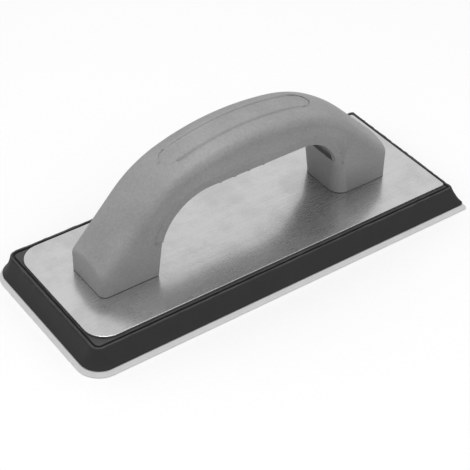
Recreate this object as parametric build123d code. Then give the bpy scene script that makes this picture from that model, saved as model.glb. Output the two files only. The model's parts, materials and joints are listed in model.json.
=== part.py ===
from build123d import *
from math import cos, radians, sin, sqrt, tan
import os

# Grout float: a D-handle on a metal backing plate, a flared black pad and a rubber face.
# Millimetres. +X runs along the float to its square-cornered end, +Y across, +Z up.
# The origin is the middle of the rubber face's underside.

# Rubber face
face_length = 240.0
face_width = 100.0
face_thickness = 2.6
face_flare = 1.7
face_round_radius = 13.0
face_square_radius = 2.5

# Adhesive films
adhesive_thickness = 0.2
adhesive_inset = 1.5

# Black pad, whose foot meets the face's upper edge and whose sides lean in to its land
pad_height = 10.6
pad_lean_length = 5.3
pad_lean_width = 4.9
pad_top_round_radius = 5.0
pad_top_square_radius = 2.0
lip_width = 1.7
groove_width = 0.8
groove_depth = 0.7

# Backing plate
plate_thickness = 1.0
land_length = 3.0
land_width = 3.6
plate_round_radius = 12.0
plate_square_radius = 1.5

# Handle outline, seen from the side
handle_left = -91.8
handle_right = 89.0
handle_height = 65.4
crest_x = 1.2
top_left_radius = 135.0
top_left_turn = 18.4
shoulder_left_radius = 66.0
back_slope_left = 47.3
top_right_radius = 157.0
top_right_turn = 9.7
shoulder_right_radius = 72.0
back_slope_right = 45.0
end_radius = 4.0

# Handle section
handle_width = 31.0
crown_radius = 36.0
crown_edge_radius = 5.4
least_edge_radius = 1.0

# Hand opening
grip_depth = 22.0
opening_left = -58.9
opening_right = 54.8
leg_lean = 6.3
arch_left_radius = 30.0
arch_right_radius = 24.0

# Rounded inner corners of the right leg: at each height above the plate, the radius
# and how far outside the corner it runs, so that the rounding fades out upwards
leg_corner_heights = [0.0, 19.0, 32.0]
leg_corner_radii = [7.6, 6.4, 1.2]
leg_corner_runouts = [0.0, 0.0, 1.2]

# Raised band around the opening's rim
band_width = 4.6
band_proud = 0.6
band_foot = 21.0

# Finger scallops under the grip
scallop_count = 3
scallop_pitch = 8.7
scallop_radius = 9.0
scallop_middle_x = -8.5

# Palm panel, sunk into the crown
panel_left = -47.0
panel_right = 43.0
panel_width = 12.0
panel_depth = 0.45

# Handle shell: a closed hollow, with a shallow channel around the hand opening
# that begins part way up each leg and runs along the underside of the grip.
# The legs' walls stand off the plate by foot_gap.
wall = 3.2
channel_depth = 2.0
channel_floor = 2.4
channel_foot = 23.0
foot_gap = 0.3
rib_thickness = 2.4
boss_radius = 5.2
boss_cap = 1.2
boss_spacing = 14.0

# Screws, countersunk into dimples that the plate carries up into the bosses
screw_length = 16.0
screw_head_radius = 3.8
screw_core_radius = 1.5
screw_thread_radius = 2.0
screw_thread_pitch = 1.5
screw_thread_start = 4.5
screw_point_length = 2.4
drive_slot_width = 1.1
drive_slot_length = 4.2
drive_depth = 1.2
head_recess = 0.1
head_clearance = 0.05
plate_hole_radius = 2.2
dimple_wall = 0.8
dimple_height = 1.4
dimple_clearance = 0.15
pilot_clearance = 0.05
pilot_overrun = 2.0

# Levels
face_top = face_thickness
pad_bottom = face_top + adhesive_thickness
pad_top = pad_bottom + pad_height
plate_bottom = pad_top + adhesive_thickness
plate_top = plate_bottom + plate_thickness
crest_z = plate_top + handle_height
grip_underside = crest_z - grip_depth

# Plan sizes
pad_foot_length = face_length - 2 * face_flare
pad_foot_width = face_width - 2 * face_flare
land_outer_length = pad_foot_length - 2 * pad_lean_length
land_outer_width = pad_foot_width - 2 * pad_lean_width
plate_length = land_outer_length - 2 * land_length
plate_width = land_outer_width - 2 * land_width
pad_foot_round_radius = face_round_radius - face_flare

# Tops of the pilot holes and of the bosses around them
pilot_top = plate_bottom + head_recess + screw_length + pilot_overrun
boss_height = pilot_top + boss_cap - plate_top

# Sizes of cutting shapes, larger than what they cut
section_depth = handle_height - handle_height / 3
slope_run = 80.0
tool_reach = 120.0
cut_margin = 3.0
overcut = 1.0
same_place = 0.01


def plan_outline(length, width, round_radius, square_radius):
    """Rectangle with large corners on its left end and small ones on its right."""
    outline = Rectangle(length, width)
    left = outline.vertices().group_by(Axis.X)[0]
    outline = fillet(left, round_radius)
    right = outline.vertices().group_by(Axis.X)[-1]
    return fillet(right, square_radius)


def slab(outline, bottom, thickness):
    return extrude(Plane.XY.offset(bottom) * outline, thickness)


def side_prism(outline, width):
    """Extrude an outline drawn in X and Z evenly to both sides of Y = 0."""
    return extrude(Plane.XZ * outline, width / 2, both=True)


def spine_path():
    """Crest line of the handle: left slope, shoulder, long top arc, right shoulder, right slope."""
    crest = (crest_x, crest_z)
    top_left = JernArc(crest, (-1, 0), top_left_radius, top_left_turn)
    turn_left = back_slope_left - top_left_turn
    shoulder_left = JernArc(top_left @ 1, top_left % 1, shoulder_left_radius, turn_left)
    slope_left = Line(shoulder_left @ 1, shoulder_left @ 1 + shoulder_left % 1 * slope_run)
    top_right = JernArc(crest, (1, 0), top_right_radius, -top_right_turn)
    turn_right = top_right_turn - back_slope_right
    shoulder_right = JernArc(top_right @ 1, top_right % 1, shoulder_right_radius, turn_right)
    slope_right = Line(shoulder_right @ 1, shoulder_right @ 1 + shoulder_right % 1 * slope_run)
    return Plane.XZ * Wire([slope_left, shoulder_left, top_left, top_right, shoulder_right, slope_right])


def crowned_section(inset):
    """Handle section: crowned top at height 0, flat sides, offset inwards by inset."""
    half = handle_width / 2 - inset
    radius = crown_radius - inset
    edge = sqrt(radius ** 2 - half ** 2) - radius - inset
    top = ThreePointArc((half, edge), (0, -inset), (-half, edge))
    sides = Polyline((-half, edge), (-half, -section_depth), (half, -section_depth), (half, edge))
    section = make_face([top, sides])
    upper = section.vertices().sort_by(Axis.Y)[-2:]
    return fillet(upper, max(crown_edge_radius - inset, least_edge_radius))


def crowned_bar(inset):
    """The section swept along the spine."""
    path = spine_path()
    start = path @ 0
    tangent = path % 0
    across = Vector(0, 1, 0)
    plane = Plane(origin=start, x_dir=across, z_dir=tangent)
    if plane.y_dir.Z < 0:
        plane = Plane(origin=start, x_dir=-across, z_dir=tangent)
    return sweep(plane * crowned_section(inset), path=path)


def end_trim(inset, bottom):
    """Block that cuts a crowned bar off at the handle's two ends and at its foot."""
    length = handle_right - handle_left - 2 * inset
    middle = (handle_left + handle_right) / 2
    return Pos(middle, 0, bottom + tool_reach / 2) * Box(length, 2 * handle_width, tool_reach)


def opening_outline():
    """Hand opening: two legs that lean in, two arched corners and a flat underside."""
    rise = grip_underside - plate_top
    shift = rise * tan(radians(leg_lean))
    corners = [
        (opening_left, plate_top),
        (opening_left + shift, grip_underside),
        (opening_right - shift, grip_underside),
        (opening_right, plate_top),
    ]
    outline = make_face(Polyline(*corners, close=True))
    upper = outline.vertices().group_by(Axis.Y)[-1].sort_by(Axis.X)
    outline = fillet(upper[0], arch_left_radius)
    right = outline.vertices().group_by(Axis.Y)[-1].sort_by(Axis.X)[-1]
    return fillet(right, arch_right_radius)


def scalloped_opening():
    """The opening with a strip left under the grip, out of which the finger scallops are cut."""
    drop = scallop_radius - sqrt(scallop_radius ** 2 - (scallop_pitch / 2) ** 2)
    length = (scallop_count + 1) * scallop_pitch
    strip = Pos(scallop_middle_x, grip_underside - drop / 2) * Rectangle(length, drop)
    outline = opening_outline() - strip
    for index in range(scallop_count + 2):
        x = scallop_middle_x + (index - (scallop_count + 1) / 2) * scallop_pitch
        outline += Pos(x, grip_underside - scallop_radius) * Circle(scallop_radius)
    return outline


def inner_face_x(side, height):
    """X of a leg's inner face at a height above the plate; side is -1 on the left, +1 on the right."""
    foot = opening_left if side < 0 else opening_right
    radius = arch_left_radius if side < 0 else arch_right_radius
    rise = grip_underside - plate_top
    lean = radians(leg_lean)
    tangent_length = radius * tan(radians(90 - leg_lean) / 2)
    arch_start = rise - tangent_length * cos(lean)
    if height <= arch_start:
        return foot - side * height * tan(lean)
    centre_x = foot - side * (rise * tan(lean) + tangent_length)
    centre_height = rise - radius
    return centre_x + side * sqrt(radius ** 2 - (height - centre_height) ** 2)


def corner_section(side, height, radius, runout):
    """Outside of a rounded corner between a leg's inner face and its near side."""
    face = inner_face_x(side, height) - side * runout
    flank = -handle_width / 2 - runout
    inner = face - side * cut_margin
    bend = face + side * radius
    middle = (face + side * radius * (1 - sin(radians(45))), flank + radius * (1 - sin(radians(45))))
    arc = ThreePointArc((bend, flank), middle, (face, flank + radius))
    points = [(face, flank + radius), (inner, flank + radius), (inner, flank - cut_margin), (bend, flank - cut_margin)]
    outline = make_face([arc, Polyline(*points, (bend, flank))])
    return Plane.XY.offset(plate_top + height) * outline


def leg_corner_cuts(side):
    """What the rounding takes off one leg's near and far inner corners."""
    stations = zip(leg_corner_heights, leg_corner_radii, leg_corner_runouts)
    cut = loft([corner_section(side, *station) for station in stations], ruled=True)
    return [cut, mirror(cut, Plane.XZ)]


def rim_band():
    """Raised band that follows the opening, from part way up one leg to part way up the other."""
    ring = offset(opening_outline(), band_width) - opening_outline()
    band = side_prism(ring, handle_width + 2 * band_proud)
    return band & side_prism(above(band_foot), handle_width + 2 * band_proud)


def above(height):
    """Everything, in X and Z, higher than a height above the plate."""
    return Pos(0, plate_top + height + tool_reach / 2) * Rectangle(2 * tool_reach, tool_reach)


def around_opening(reach, width):
    """The opening grown outwards by a reach, as a prism of a given width."""
    return side_prism(offset(opening_outline(), reach), width)


def finger_channel():
    """Shallow channel between the two rims of the grip."""
    width = handle_width - 2 * wall
    return around_opening(channel_depth, width) & side_prism(above(channel_foot), width)


def hollow_core():
    """Inside of the handle: walls all round, and room left for the channel, bosses and ribs."""
    core = crowned_bar(wall) & end_trim(wall, plate_top - overcut)
    core -= around_opening(channel_depth + channel_floor, handle_width)
    return core - bosses_and_ribs()


def leg_centres():
    """X of the middle of each leg's foot."""
    left = (handle_left + opening_left) / 2
    right = (handle_right + opening_right) / 2
    return {"left": left, "right": right}


def leg_length(leg):
    return opening_left - handle_left if leg == "left" else handle_right - opening_right


def screw_places():
    """Name and X of each screw."""
    places = {}
    for leg, centre in leg_centres().items():
        outwards = -1 if leg == "left" else 1
        places[f"{leg}_outer"] = centre + outwards * boss_spacing / 2
        places[f"{leg}_inner"] = centre - outwards * boss_spacing / 2
    return places


def bosses_and_ribs():
    """A boss around each screw, with ribs that tie the bosses to the leg's walls."""
    middle_z = plate_top + boss_height / 2
    solids = []
    for x in screw_places().values():
        solids.append(Pos(x, 0, middle_z) * Cylinder(boss_radius, boss_height))
        solids.append(Pos(x, 0, middle_z) * Box(rib_thickness, handle_width - wall, boss_height))
    for leg, centre in leg_centres().items():
        solids.append(Pos(centre, 0, middle_z) * Box(leg_length(leg) - wall, rib_thickness, boss_height))
    return solids


def foot_relief():
    """Thin gap under the legs' walls, so that the bosses and ribs seat on the plate first."""
    length = handle_right - handle_left + 2 * cut_margin
    middle = (handle_left + handle_right) / 2
    under = Pos(middle, 0) * Rectangle(length, 2 * handle_width)
    return slab(under, plate_top, foot_gap) - bosses_and_ribs()


def revolved(points, x):
    """Solid of revolution about a vertical axis at X, from radius and height points."""
    profile = Plane.XZ * make_face(Polyline(*points, close=True))
    return Pos(x, 0, 0) * revolve(profile, Axis.Z)


def cone_level(clearance):
    """Height at which the plate's countersink would close to a point, moved out by a clearance."""
    return plate_bottom + head_recess + screw_head_radius + head_clearance + clearance * sqrt(2)


def dimple_outer(x, clearance):
    """Outside of a plate dimple, or with a clearance the recess that takes it."""
    level = cone_level(dimple_wall + clearance)
    top = plate_top + dimple_height + clearance
    return revolved([(0, plate_bottom), (level - plate_bottom, plate_bottom), (level - top, top), (0, top)], x)


def countersink(x):
    level = cone_level(0)
    top = plate_top + dimple_height
    points = [
        (0, plate_bottom),
        (level - plate_bottom, plate_bottom),
        (plate_hole_radius, level - plate_hole_radius),
        (plate_hole_radius, top),
        (0, top),
    ]
    return revolved(points, x)


def pilot_hole(x):
    radius = screw_thread_radius + pilot_clearance
    return revolved([(0, plate_top), (radius, plate_top), (radius, pilot_top), (0, pilot_top)], x)


def palm_panel():
    """Skin taken off the crown inside a slot-shaped outline."""
    length = panel_right - panel_left
    middle = (panel_left + panel_right) / 2
    slot = slab(Pos(middle, 0) * SlotOverall(length, panel_width), grip_underside + wall, tool_reach)
    return slot - crowned_bar(panel_depth)


def make_handle():
    body = crowned_bar(0) & end_trim(0, plate_top)
    body = fillet(body.edges().filter_by(is_end_edge), end_radius)
    body += rim_band()
    body -= hollow_core()
    body -= finger_channel()
    body -= side_prism(scalloped_opening(), 2 * handle_width)
    body -= palm_panel()
    body -= leg_corner_cuts(1)
    body -= foot_relief()
    for x in screw_places().values():
        body -= dimple_outer(x, dimple_clearance)
        body -= pilot_hole(x)
    return body


def is_end_edge(edge):
    """True for the outline of an end face, apart from its foot."""
    box = edge.bounding_box()
    at_end = min(abs(box.center().X - handle_left), abs(box.center().X - handle_right)) < same_place
    return at_end and box.size.X < same_place and box.size.Z > same_place


def make_plate():
    outline = plan_outline(plate_length, plate_width, plate_round_radius, plate_square_radius)
    plate = slab(outline, plate_bottom, plate_thickness)
    for x in screw_places().values():
        plate += dimple_outer(x, 0)
        plate -= countersink(x)
    return plate


def make_pad():
    foot = plan_outline(pad_foot_length, pad_foot_width, pad_foot_round_radius, face_square_radius)
    land = plan_outline(land_outer_length, land_outer_width, pad_top_round_radius, pad_top_square_radius)
    pad = loft([Plane.XY.offset(pad_bottom) * foot, Plane.XY.offset(pad_top) * land], ruled=True)
    groove = offset(land, -lip_width) - offset(land, -lip_width - groove_width)
    return pad - slab(groove, pad_top - groove_depth, groove_depth + overcut)


def make_face_layer():
    underside = plan_outline(face_length, face_width, face_round_radius, face_square_radius)
    upper = plan_outline(pad_foot_length, pad_foot_width, pad_foot_round_radius, face_square_radius)
    return loft([underside, Plane.XY.offset(face_top) * upper], ruled=True)


def make_plate_adhesive():
    length = plate_length - 2 * adhesive_inset
    width = plate_width - 2 * adhesive_inset
    outline = plan_outline(length, width, plate_round_radius - adhesive_inset, plate_square_radius)
    return slab(outline, pad_top, adhesive_thickness)


def make_face_adhesive():
    length = pad_foot_length - 2 * adhesive_inset
    width = pad_foot_width - 2 * adhesive_inset
    outline = plan_outline(length, width, pad_foot_round_radius - adhesive_inset, face_square_radius)
    return slab(outline, face_top, adhesive_thickness)


def make_screw(x):
    """Countersunk self-tapping screw, head down, point up."""
    bottom = plate_bottom + head_recess
    tip = bottom + screw_length
    point_start = tip - screw_point_length
    points = [(0, bottom), (screw_head_radius, bottom)]
    points.append((screw_core_radius, bottom + screw_head_radius - screw_core_radius))
    height = bottom + screw_thread_start
    while height + screw_thread_pitch < point_start:
        points.append((screw_core_radius, height))
        points.append((screw_thread_radius, height + screw_thread_pitch / 2))
        height += screw_thread_pitch
    points += [(screw_core_radius, height), (screw_core_radius, point_start), (0, tip)]
    screw = revolved(points, x)
    for angle in (0, 90):
        slot = Box(drive_slot_length, drive_slot_width, 2 * drive_depth)
        screw -= Pos(x, 0, bottom) * Rot(0, 0, angle) * slot
    return screw


def write(node, shape):
    export_step(shape, f"parts/{node}.step")


os.makedirs("parts", exist_ok=True)
write("handle", make_handle())
write("backing_plate", make_plate())
write("plate_adhesive", make_plate_adhesive())
write("foam_pad", make_pad())
write("face_adhesive", make_face_adhesive())
write("rubber_face", make_face_layer())
for name, x in screw_places().items():
    write(f"screw_{name}", make_screw(x))
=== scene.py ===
import bmesh
import bpy
import json
from math import cos, radians, sin
from mathutils import Matrix, Vector

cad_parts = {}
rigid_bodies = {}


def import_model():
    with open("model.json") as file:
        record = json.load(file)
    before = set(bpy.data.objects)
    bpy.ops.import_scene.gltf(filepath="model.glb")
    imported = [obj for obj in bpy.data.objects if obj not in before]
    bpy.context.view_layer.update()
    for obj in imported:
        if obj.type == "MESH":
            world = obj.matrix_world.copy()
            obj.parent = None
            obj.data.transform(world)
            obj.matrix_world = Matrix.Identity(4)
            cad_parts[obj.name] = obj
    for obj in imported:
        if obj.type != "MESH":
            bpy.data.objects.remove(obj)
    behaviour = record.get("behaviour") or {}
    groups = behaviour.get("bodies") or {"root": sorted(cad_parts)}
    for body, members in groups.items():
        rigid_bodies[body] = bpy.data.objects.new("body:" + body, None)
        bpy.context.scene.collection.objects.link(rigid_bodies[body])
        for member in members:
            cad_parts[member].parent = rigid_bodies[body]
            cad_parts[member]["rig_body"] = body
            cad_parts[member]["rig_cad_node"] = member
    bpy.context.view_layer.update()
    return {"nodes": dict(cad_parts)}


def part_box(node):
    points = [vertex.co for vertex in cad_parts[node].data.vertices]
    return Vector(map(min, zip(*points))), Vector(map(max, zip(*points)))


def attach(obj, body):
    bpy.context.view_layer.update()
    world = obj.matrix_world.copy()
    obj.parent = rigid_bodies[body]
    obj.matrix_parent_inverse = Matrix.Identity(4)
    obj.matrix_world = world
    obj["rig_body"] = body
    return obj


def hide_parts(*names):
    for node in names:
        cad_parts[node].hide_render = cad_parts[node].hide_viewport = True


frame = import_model()
print("stage: frame loaded")

mm = 0.001


# Camera: three-quarter view from above, over the float's left end
cameraSetup = {
    "azimuth": -36.17,
    "elevation": 39.65,
    "roll": 1.21,
    "distance": 784 * mm,
    "panRight": -0.70 * mm,
    "panUp": 2.16 * mm,
    "lens": 112.98,
    "sensor": 36,
    "nearest": 10 * mm,
}


def addCamera():
    turn = radians(cameraSetup["azimuth"])
    lift = radians(cameraSetup["elevation"])
    roll = radians(cameraSetup["roll"])
    back = Vector((sin(turn) * cos(lift), -cos(turn) * cos(lift), sin(lift)))
    level = Vector((cos(turn), sin(turn), 0))
    upright = back.cross(level)
    across = level * cos(roll) + upright * sin(roll)
    up = upright * cos(roll) - level * sin(roll)
    place = across * cameraSetup["panRight"] + up * cameraSetup["panUp"] + back * cameraSetup["distance"]
    bpy.ops.object.camera_add()
    cam = bpy.context.object
    cam.name = "studioCamera"
    cam.matrix_world = Matrix((across, up, back)).transposed().to_4x4()
    cam.location = place
    cam.data.lens = cameraSetup["lens"]
    cam.data.sensor_width = cameraSetup["sensor"]
    cam.data.clip_start = cameraSetup["nearest"]
    bpy.context.scene.camera = cam


# Studio: a pale floor, a white surround that darkens towards the horizon, and a soft panel overhead
studio = {
    "floorSize": 12,
    "floorTone": 0.82,
    "floorToneSwing": 0.01,
    "floorFibre": 400,
    "horizon": 0.13,
    "zenith": 0.74,
    "brightFrom": 0.58,
    "panels": [
        {"name": "topPanel", "place": (-0.1, -0.1, 1.6), "size": 0.9, "watts": 15.5},
    ],
}


def addStudio():
    bpy.ops.mesh.primitive_plane_add(size=studio["floorSize"], location=(0, 0, 0))
    floor = bpy.context.object
    floor.name = "studioFloor"
    world = bpy.data.worlds.new("studioSurround")
    world.use_nodes = True
    nodes = world.node_tree.nodes
    join = world.node_tree.links.new
    direction = nodes.new("ShaderNodeTexCoord")
    height = nodes.new("ShaderNodeSeparateXYZ")
    join(direction.outputs["Generated"], height.inputs["Vector"])
    levels = nodes.new("ShaderNodeMapRange")
    levels.interpolation_type = "SMOOTHSTEP"
    levels.inputs["From Max"].default_value = studio["brightFrom"]
    levels.inputs["To Min"].default_value = studio["horizon"]
    levels.inputs["To Max"].default_value = studio["zenith"]
    join(height.outputs["Z"], levels.inputs["Value"])
    join(levels.outputs["Result"], nodes["Background"].inputs["Strength"])
    nodes["Background"].inputs["Color"].default_value = (1, 1, 1, 1)
    bpy.context.scene.world = world
    for panel in studio["panels"]:
        bpy.ops.object.light_add(type="AREA", location=panel["place"])
        light = bpy.context.object
        light.name = panel["name"]
        light.data.size = panel["size"]
        light.data.energy = panel["watts"]
        light.rotation_euler = Vector(panel["place"]).to_track_quat("Z", "Y").to_euler()
    bpy.context.scene.view_settings.view_transform = "Standard"
    return floor


# Shader building: Wire wraps one output socket and turns arithmetic into Math nodes
class Wire:
    def __init__(self, finish, socket):
        self.finish = finish
        self.socket = socket

    def maths(self, operation, first, second):
        return self.finish.node("ShaderNodeMath", {"operation": operation}, {0: first, 1: second})

    def __add__(self, other):
        return self.maths("ADD", self, other)

    def __radd__(self, other):
        return self.maths("ADD", other, self)

    def __sub__(self, other):
        return self.maths("SUBTRACT", self, other)

    def __rsub__(self, other):
        return self.maths("SUBTRACT", other, self)

    def __mul__(self, other):
        return self.maths("MULTIPLY", self, other)

    def __rmul__(self, other):
        return self.maths("MULTIPLY", other, self)


class Finish:
    def __init__(self, name, constants):
        self.material = bpy.data.materials.new(name)
        self.material.use_nodes = True
        self.tree = self.material.node_tree
        self.shader = self.tree.nodes["Principled BSDF"]
        for socket, value in constants.items():
            self.shader.inputs[socket].default_value = value

    def node(self, kind, settings=None, sockets=None, output=0):
        made = self.tree.nodes.new(kind)
        for setting, value in (settings or {}).items():
            if setting == "stops":
                self.setStops(made.color_ramp, value)
            else:
                setattr(made, setting, value)
        for socket, value in (sockets or {}).items():
            self.feed(made.inputs[socket], value)
        return Wire(self, made.outputs[output])

    def setStops(self, ramp, stops):
        for position, value in stops[2:]:
            ramp.elements.new(position)
        for element, (position, value) in zip(ramp.elements, stops):
            element.position = position
            element.color = (value, value, value, 1)

    def feed(self, socket, value):
        if isinstance(value, Wire):
            self.tree.links.new(value.socket, socket)
        else:
            socket.default_value = value

    def drive(self, **sockets):
        for socket, value in sockets.items():
            self.feed(self.shader.inputs[socket.replace("_", " ")], value)

    def place(self, stretch=(1, 1, 1)):
        coordinates = self.node("ShaderNodeTexCoord", output="Object")
        return self.node("ShaderNodeMapping", {}, {"Vector": coordinates, "Scale": stretch})

    def noise(self, scale, detail=3, roughness=0.5, stretch=(1, 1, 1)):
        sockets = {"Vector": self.place(stretch), "Scale": scale, "Detail": detail, "Roughness": roughness}
        return self.node("ShaderNodeTexNoise", {}, sockets)

    def ramp(self, factor, stops):
        return self.node("ShaderNodeValToRGB", {"stops": stops}, {"Fac": factor})

    def blend(self, factor, first, second):
        sockets = {"Factor": factor, 6: (*first, 1), 7: (*second, 1)}
        return self.node("ShaderNodeMix", {"data_type": "RGBA"}, sockets, output=2)

    def bump(self, height, depth, strength=1.0):
        return self.node("ShaderNodeBump", {}, {"Height": height, "Distance": depth, "Strength": strength})


def grey(level):
    return (level, level, level)


# Handle: mid-grey moulded plastic with a fine spark-eroded grain
handlePlastic = {
    "dark": grey(0.232),
    "light": grey(0.288),
    "roughness": 0.52,
    "grainScale": 700,
    "grainDepth": 0.1 * mm,
    "cloudScale": 55,
    "grainShare": 0.6,
    "toneStops": [(0.36, 0), (0.64, 1)],
    "roughnessSwing": 0.16,
}


def makeHandlePlastic():
    finish = Finish("handlePlastic", {"Specular IOR Level": 0.4})
    grain = finish.noise(handlePlastic["grainScale"], detail=4, roughness=0.6)
    clouds = finish.noise(handlePlastic["cloudScale"], detail=2)
    grainShare = handlePlastic["grainShare"]
    tone = finish.ramp(grain * grainShare + clouds * (1 - grainShare), handlePlastic["toneStops"])
    swing = handlePlastic["roughnessSwing"]
    finish.drive(
        Base_Color=finish.blend(tone, handlePlastic["dark"], handlePlastic["light"]),
        Roughness=handlePlastic["roughness"] - swing / 2 + clouds * swing,
        Normal=finish.bump(grain, handlePlastic["grainDepth"]),
    )
    return finish.material


# Plate: satin rolled sheet under a thin glossy skin, with streaks along its length and handling marks
plateMetal = {
    "dark": grey(0.60),
    "light": grey(0.80),
    "roughness": 0.24,
    "skin": {"Coat Weight": 1.0, "Coat Roughness": 0.12, "Coat IOR": 1.8},
    "streakScale": 900,
    "streakStretch": (0.02, 1, 1),
    "streakDepth": 0.005 * mm,
    "streakBump": 0.5,
    "streakShare": 0.5,
    "streakSwing": 0.08,
    "markScale": 45,
    "markStops": [(0.44, 0), (0.62, 1)],
    "markSwing": 0.05,
}


def makePlateMetal():
    finish = Finish("plateMetal", {"Metallic": 1.0, **plateMetal["skin"]})
    streaks = finish.noise(plateMetal["streakScale"], 2, 0.5, plateMetal["streakStretch"])
    marks = finish.noise(plateMetal["markScale"], 6, 0.68)
    stain = finish.ramp(marks, plateMetal["markStops"])
    share = plateMetal["streakShare"]
    swing = plateMetal["streakSwing"]
    darkening = streaks * share + stain * (1 - share)
    finish.drive(
        Base_Color=finish.blend(darkening, plateMetal["light"], plateMetal["dark"]),
        Roughness=plateMetal["roughness"] - swing / 2 + streaks * swing + marks * plateMetal["markSwing"],
        Normal=finish.bump(streaks, plateMetal["streakDepth"], plateMetal["streakBump"]),
    )
    return finish.material


# Pad: black cellular rubber with a moulded skin; its upward faces take a lighter grey that is dust and
# painted top light, while the groove is held at the dark skin colour as painted shade
padRubber = {
    "skin": grey(0.016),
    "dustAndTopLight": grey(0.052),
    # dust and painted top light: the lighter grey laid on upward faces outside the groove
    "roughness": 0.62,
    "grainScale": 1400,
    "grainDepth": 0.12 * mm,
    "patchScale": 70,
    # painted shade: below this height, down in the groove, the rubber keeps its dark skin colour
    "grooveShadeBelow": 12.7 * mm,
    "grooveShadeStops": [(0, 0), (0.5, 1)],
    "upwardStops": [(0.75, 0), (0.98, 1)],
    "dustStops": [(0.36, 0.3), (0.64, 1)],
    "sideDust": 0.12,
    "roughnessSwing": 0.2,
}


def makePadRubber():
    finish = Finish("padRubber", {"Specular IOR Level": 0.35})
    grain = finish.noise(padRubber["grainScale"], detail=3, roughness=0.65)
    patches = finish.noise(padRubber["patchScale"], detail=4)
    facing = finish.node("ShaderNodeNewGeometry", output="Normal")
    upwards = finish.node("ShaderNodeSeparateXYZ", {}, {"Vector": facing}, output="Z")
    # painted top light: only faces that point upwards take the lighter grey
    flatTop = finish.ramp(upwards, padRubber["upwardStops"])
    height = finish.node("ShaderNodeSeparateXYZ", {}, {"Vector": finish.place()}, output="Z")
    # painted shade: the groove, below the threshold height, is kept dark
    clearOfGrooveShade = finish.ramp((height - padRubber["grooveShadeBelow"]) * (1 / mm), padRubber["grooveShadeStops"])
    evenShare = 0.5
    settled = finish.ramp(grain * evenShare + patches * evenShare, padRubber["dustStops"])
    # the lighter grey follows a dust pattern, but only on upward faces clear of the groove, so it also paints
    # top light and groove shade
    dustAndTopLight = flatTop * clearOfGrooveShade * settled
    swing = padRubber["roughnessSwing"]
    finish.drive(
        Base_Color=finish.blend(dustAndTopLight + patches * padRubber["sideDust"], padRubber["skin"], padRubber["dustAndTopLight"]),
        Roughness=padRubber["roughness"] - swing / 2 + grain * swing,
        Normal=finish.bump(grain, padRubber["grainDepth"]),
    )
    return finish.material


# Face: pale grey gum rubber, smooth, with faint clouding
faceRubber = {
    "dark": grey(0.52),
    "light": grey(0.61),
    "roughness": 0.6,
    "cloudScale": 160,
    "poreScale": 2200,
    "poreDepth": 0.04 * mm,
    "roughnessSwing": 0.1,
}


def makeFaceRubber():
    finish = Finish("faceRubber", {"Specular IOR Level": 0.4})
    clouds = finish.noise(faceRubber["cloudScale"], detail=4)
    pores = finish.noise(faceRubber["poreScale"], detail=2)
    swing = faceRubber["roughnessSwing"]
    finish.drive(
        Base_Color=finish.blend(clouds, faceRubber["dark"], faceRubber["light"]),
        Roughness=faceRubber["roughness"] - swing / 2 + pores * swing,
        Normal=finish.bump(pores, faceRubber["poreDepth"]),
    )
    return finish.material


# Adhesive: dried, yellowish contact adhesive
adhesive = {
    "thin": (0.42, 0.36, 0.24),
    "thick": (0.55, 0.49, 0.34),
    "roughness": 0.35,
    "scale": 220,
    "stretch": (0.25, 1, 1),
    "depth": 0.05 * mm,
}


def makeAdhesive():
    finish = Finish("driedAdhesive", {"Roughness": adhesive["roughness"]})
    brushed = finish.noise(adhesive["scale"], 4, 0.6, adhesive["stretch"])
    finish.drive(
        Base_Color=finish.blend(brushed, adhesive["thin"], adhesive["thick"]),
        Normal=finish.bump(brushed, adhesive["depth"]),
    )
    return finish.material


# Screws: zinc-plated steel
screwSteel = {
    "dark": grey(0.5),
    "light": grey(0.68),
    "leastRoughness": 0.25,
    "roughnessSwing": 0.15,
    "scale": 700,
    "depth": 0.02 * mm,
}


def makeScrewSteel():
    finish = Finish("screwSteel", {"Metallic": 1.0})
    plating = finish.noise(screwSteel["scale"], detail=4)
    finish.drive(
        Base_Color=finish.blend(plating, screwSteel["dark"], screwSteel["light"]),
        Roughness=screwSteel["leastRoughness"] + plating * screwSteel["roughnessSwing"],
        Normal=finish.bump(plating, screwSteel["depth"]),
    )
    return finish.material


# Floor: pale matt paper
def makeFloorPaper():
    finish = Finish("floorPaper", {"Roughness": 0.9, "Specular IOR Level": 0.1})
    fibre = finish.noise(studio["floorFibre"], detail=2)
    tone = studio["floorTone"]
    swing = studio["floorToneSwing"]
    finish.drive(Base_Color=finish.blend(fibre, grey(tone - swing), grey(tone + swing)))
    return finish.material


def deselectAll():
    bpy.ops.object.select_all(action="DESELECT")


def makeActive(piece):
    deselectAll()
    piece.select_set(True)
    bpy.context.view_layer.objects.active = piece


def coat(piece, material):
    piece.data.materials.clear()
    piece.data.materials.append(material)


def finishPiece(piece, node, material):
    piece.data.materials.clear()
    piece.data.materials.append(material)
    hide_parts(node)
    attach(piece, "root")


# A merged copy of a node's own surface, left in edit mode with everything selected
def copyNode(node, name, mergeWithin):
    source = frame["nodes"][node]
    piece = source.copy()
    piece.data = source.data.copy()
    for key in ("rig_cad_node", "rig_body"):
        del piece[key]
    piece.parent = None
    piece.name = name
    bpy.context.scene.collection.objects.link(piece)
    makeActive(piece)
    bpy.ops.object.mode_set(mode="EDIT")
    bpy.ops.mesh.select_all(action="SELECT")
    bpy.ops.mesh.remove_doubles(threshold=mergeWithin)
    return piece


# Handle skin: the handle's own surface, smoothed between its real edges
handleSkin = {"mergeWithin": 0.002 * mm, "sharpAbove": 24}


def makeHandleSkin(material):
    piece = copyNode("handle", "handleSkin", handleSkin["mergeWithin"])
    bpy.ops.object.mode_set(mode="OBJECT")
    bpy.ops.object.shade_smooth_by_angle(angle=radians(handleSkin["sharpAbove"]))
    finishPiece(piece, "handle", material)
    return piece


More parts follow.
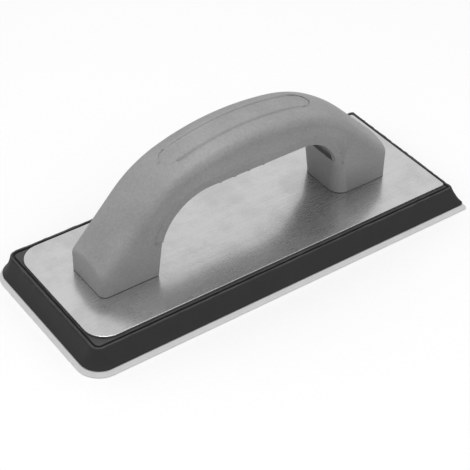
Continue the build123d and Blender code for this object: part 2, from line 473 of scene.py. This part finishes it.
# Backing plate: the sheet with its top arris rounded over all round, and normals that keep the sheet flat
backingPlate = {
    "mergeWithin": 0.002 * mm,
    "flatWithin": 1,  # degrees
    "outlineWithin": 0.05 * mm,
    "sheet": 1.0 * mm,
    "cornerReach": 12.5 * mm,
    "creaseAbove": 30,
    "arris": 0.25 * mm,
    "arrisSteps": 4,
    "sharpAbove": 40,
}


def makeBackingPlate(material):
    lowest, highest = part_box("backing_plate")
    slack = backingPlate["outlineWithin"]

    def onTopOutline(place):
        atEnd = min(place.x - lowest[0], highest[0] - place.x) < slack
        nearSide = min(place.y - lowest[1], highest[1] - place.y) < backingPlate["cornerReach"]
        onTop = abs(place.z - lowest[2] - backingPlate["sheet"]) < slack
        return onTop and (atEnd or nearSide)

    piece = copyNode("backing_plate", "backingPlate", backingPlate["mergeWithin"])
    bpy.ops.mesh.dissolve_limited(angle_limit=radians(backingPlate["flatWithin"]))
    bpy.ops.mesh.select_mode(type="EDGE")
    bpy.ops.mesh.select_all(action="DESELECT")
    mesh = bmesh.from_edit_mesh(piece.data)
    for edge in mesh.edges:
        creased = edge.calc_face_angle(0) > radians(backingPlate["creaseAbove"])
        edge.select = creased and all(onTopOutline(vertex.co) for vertex in edge.verts)
    bmesh.update_edit_mesh(piece.data)
    bpy.ops.mesh.bevel(offset=backingPlate["arris"], segments=backingPlate["arrisSteps"], affect="EDGES")
    bpy.ops.object.mode_set(mode="OBJECT")
    bpy.ops.object.shade_smooth_by_angle(angle=radians(backingPlate["sharpAbove"]))
    flatten = piece.modifiers.new("flatSheet", "WEIGHTED_NORMAL")
    flatten.keep_sharp = True
    bpy.ops.object.modifier_apply(modifier=flatten.name)
    finishPiece(piece, "backing_plate", material)
    return piece


# Rubber layers: a stack of rings, each a rectangle with large corners on the left and tight ones on the right
ringSteps = {"corner": 9, "along": 159, "across": 63, "straightOver": 20 * mm, "leastRadius": 0.4 * mm}


def selectVertices(piece, test):
    mesh = bmesh.from_edit_mesh(piece.data)
    for vertex in mesh.verts:
        vertex.select = test(vertex.co)
    mesh.select_flush_mode()
    bmesh.update_edit_mesh(piece.data)


def selectRuns(piece, axis):
    mesh = bmesh.from_edit_mesh(piece.data)
    for edge in mesh.edges:
        first, second = edge.verts
        edge.select = abs(first.co[axis] - second.co[axis]) > ringSteps["straightOver"]
    bmesh.update_edit_mesh(piece.data)


def addRing(order, ring):
    bpy.ops.mesh.primitive_plane_add(size=1, location=(*ring["centre"], ring["height"]))
    piece = bpy.context.object
    bpy.ops.object.mode_set(mode="EDIT")
    bpy.ops.mesh.select_mode(type="VERT")
    bpy.ops.mesh.select_all(action="SELECT")
    bpy.ops.transform.resize(value=(ring["length"], ring["width"], 1))
    for side, radius in ((-1, ring["round"]), (1, ring["square"])):
        selectVertices(piece, lambda place: place.x * side > 0)
        bpy.ops.mesh.bevel(offset=radius, segments=ringSteps["corner"], affect="VERTICES")
    bpy.ops.mesh.select_all(action="SELECT")
    bpy.ops.mesh.delete(type="ONLY_FACE")
    bpy.ops.mesh.select_mode(type="EDGE")
    for axis, cuts in ((0, ringSteps["along"]), (1, ringSteps["across"])):
        selectRuns(piece, axis)
        bpy.ops.mesh.subdivide(number_cuts=cuts)
    bpy.ops.mesh.select_mode(type="VERT")
    bpy.ops.mesh.select_all(action="SELECT")
    bpy.ops.object.vertex_group_add()
    bpy.ops.object.vertex_group_assign()
    piece.vertex_groups.active.name = f"ring{order}"
    bpy.ops.object.mode_set(mode="OBJECT")
    return piece


def selectRings(orders):
    bpy.ops.mesh.select_all(action="DESELECT")
    for order in orders:
        bpy.ops.object.vertex_group_set_active(group=f"ring{order}")
        bpy.ops.object.vertex_group_select()


def stackRings(name, rings):
    pieces = [addRing(order, ring) for order, ring in enumerate(rings)]
    makeActive(pieces[0])
    for piece in pieces:
        piece.select_set(True)
    bpy.ops.object.join()
    piece = bpy.context.object
    piece.name = name
    bpy.ops.object.transform_apply()
    last = len(rings) - 1
    bpy.ops.object.mode_set(mode="EDIT")
    for order in range(last):
        selectRings((order, order + 1))
        bpy.ops.mesh.bridge_edge_loops()
    bpy.ops.mesh.select_all(action="DESELECT")
    bpy.ops.mesh.select_mode(type="FACE")
    bpy.ops.mesh.select_face_by_sides(number=4, type="GREATER")
    bpy.ops.mesh.delete(type="ONLY_FACE")
    bpy.ops.mesh.select_mode(type="VERT")
    for order in (0, last):
        selectRings((order,))
        bpy.ops.mesh.edge_face_add()
    bpy.ops.mesh.select_all(action="SELECT")
    bpy.ops.mesh.normals_make_consistent(inside=False)
    bpy.ops.object.mode_set(mode="OBJECT")
    return piece


# A layer's rings follow its outline rows: (share of the height climbed, inset in mm, rise in mm).
# The hollowing is a parabola, deepest at half the height.
def layerRings(node, layer):
    lowest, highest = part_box(node)
    rings = []
    for share, inset, rise in layer["outline"]:
        pulledIn = inset * mm + 4 * layer["hollow"] * share * (1 - share)
        corners = {}
        for corner in ("round", "square"):
            foot, top = layer[corner]
            corners[corner] = max(foot + (top - foot) * share - inset * mm, ringSteps["leastRadius"])
        rings.append({
            "centre": [(lowest[axis] + highest[axis]) / 2 for axis in (0, 1)],
            "length": highest[0] - lowest[0] - 2 * (layer["leanLength"] * share + pulledIn),
            "width": highest[1] - lowest[1] - 2 * (layer["leanWidth"] * share + pulledIn),
            "height": lowest[2] + (highest[2] - lowest[2]) * share + rise * mm,
            **corners,
        })
    return rings


# Uneven rubber: clouds push the named rings along one direction
def waver(piece, name, orders, direction, size, depth):
    bpy.ops.object.mode_set(mode="EDIT")
    selectRings(orders)
    bpy.ops.object.vertex_group_add()
    bpy.ops.object.vertex_group_assign()
    piece.vertex_groups.active.name = name
    bpy.ops.object.mode_set(mode="OBJECT")
    texture = bpy.data.textures.new(name, type="CLOUDS")
    texture.noise_scale = size
    push = piece.modifiers.new(name, "DISPLACE")
    push.texture = texture
    push.texture_coords = "LOCAL"
    push.direction = direction
    push.strength = depth
    push.vertex_group = name
    bpy.ops.object.modifier_apply(modifier=name)


# Foam pad: sides lean in and hollow slightly, with a ragged raised lip and a groove round the land
foamPad = {
    "round": (11.3 * mm, 5 * mm),
    "square": (2.5 * mm, 2 * mm),
    "leanLength": 5.3 * mm,
    "leanWidth": 4.9 * mm,
    "hollow": 0.45 * mm,
    "outline": [
        (0, 0.5, 0), (0, 0.12, 0.14), (0, 0, 0.5), (0.2, 0, 0), (0.4, 0, 0), (0.6, 0, 0), (0.8, 0, 0),
        (0.95, 0, 0), (1, 0.1, -0.16), (1, 0.35, 0), (1, 1.15, -0.04), (1, 1.35, -0.19),
        (1, 1.45, -1.06), (1, 2.2, -1.1), (1, 2.35, -0.3), (1, 2.6, -0.1),
    ],
    "sideRings": (3, 4, 5, 6, 7),
    "lipRings": (8, 9, 10),
    "grooveRings": (11, 12, 13, 14),
    "sideWaver": (14 * mm, 0.35 * mm),
    "lipWaver": (2.2 * mm, 0.85 * mm),
    "grooveWaver": (3.4 * mm, 0.3 * mm),
    "sharpAbove": 35,
}


def makeFoamPad(material):
    piece = stackRings("foamPad", layerRings("foam_pad", foamPad))
    waver(piece, "sideWaver", foamPad["sideRings"], "NORMAL", *foamPad["sideWaver"])
    waver(piece, "lipWaver", foamPad["lipRings"], "NORMAL", *foamPad["lipWaver"])
    waver(piece, "grooveWaver", foamPad["grooveRings"], "NORMAL", *foamPad["grooveWaver"])
    piece.vertex_groups.clear()
    bpy.ops.object.shade_smooth_by_angle(angle=radians(foamPad["sharpAbove"]))
    finishPiece(piece, "foam_pad", material)
    return piece


# Rubber face: a sheet whose edge flares out to the working side, its arrises slightly worn
rubberFace = {
    "round": (13 * mm, 11.3 * mm),
    "square": (2.5 * mm, 2.5 * mm),
    "leanLength": 1.7 * mm,
    "leanWidth": 1.7 * mm,
    "hollow": -0.1 * mm,
    "outline": [
        (0, 0.7, 0), (0, 0.2, 0.1), (0, 0, 0.4), (0.35, 0, 0), (0.65, 0, 0), (0.92, 0, 0), (1, 0.12, -0.04),
        (1, 0.45, 0),
    ],
    "edgeRings": (1, 2, 3, 4, 5),
    "edgeWaver": (9 * mm, 0.22 * mm),
    "sharpAbove": 50,
}


def makeRubberFace(material):
    piece = stackRings("rubberFace", layerRings("rubber_face", rubberFace))
    waver(piece, "edgeWaver", rubberFace["edgeRings"], "NORMAL", *rubberFace["edgeWaver"])
    piece.vertex_groups.clear()
    bpy.ops.object.shade_smooth_by_angle(angle=radians(rubberFace["sharpAbove"]))
    finishPiece(piece, "rubber_face", material)
    return piece


addCamera()
floor = addStudio()
coat(floor, makeFloorPaper())
print("stage: camera and studio")

handleGrey = makeHandlePlastic()
makeHandleSkin(handleGrey)
print("stage: handle")

makeBackingPlate(makePlateMetal())
print("stage: backing plate")
makeFoamPad(makePadRubber())
print("stage: foam pad")
makeRubberFace(makeFaceRubber())
print("stage: rubber face")

nodeFinishes = {
    "plate_adhesive": makeAdhesive(),
}
nodeFinishes["face_adhesive"] = nodeFinishes["plate_adhesive"]
steel = makeScrewSteel()
for node in frame["nodes"]:
    if node.startswith("screw_"):
        nodeFinishes[node] = steel
for node, material in nodeFinishes.items():
    coat(frame["nodes"][node], material)
print("stage: finishes")
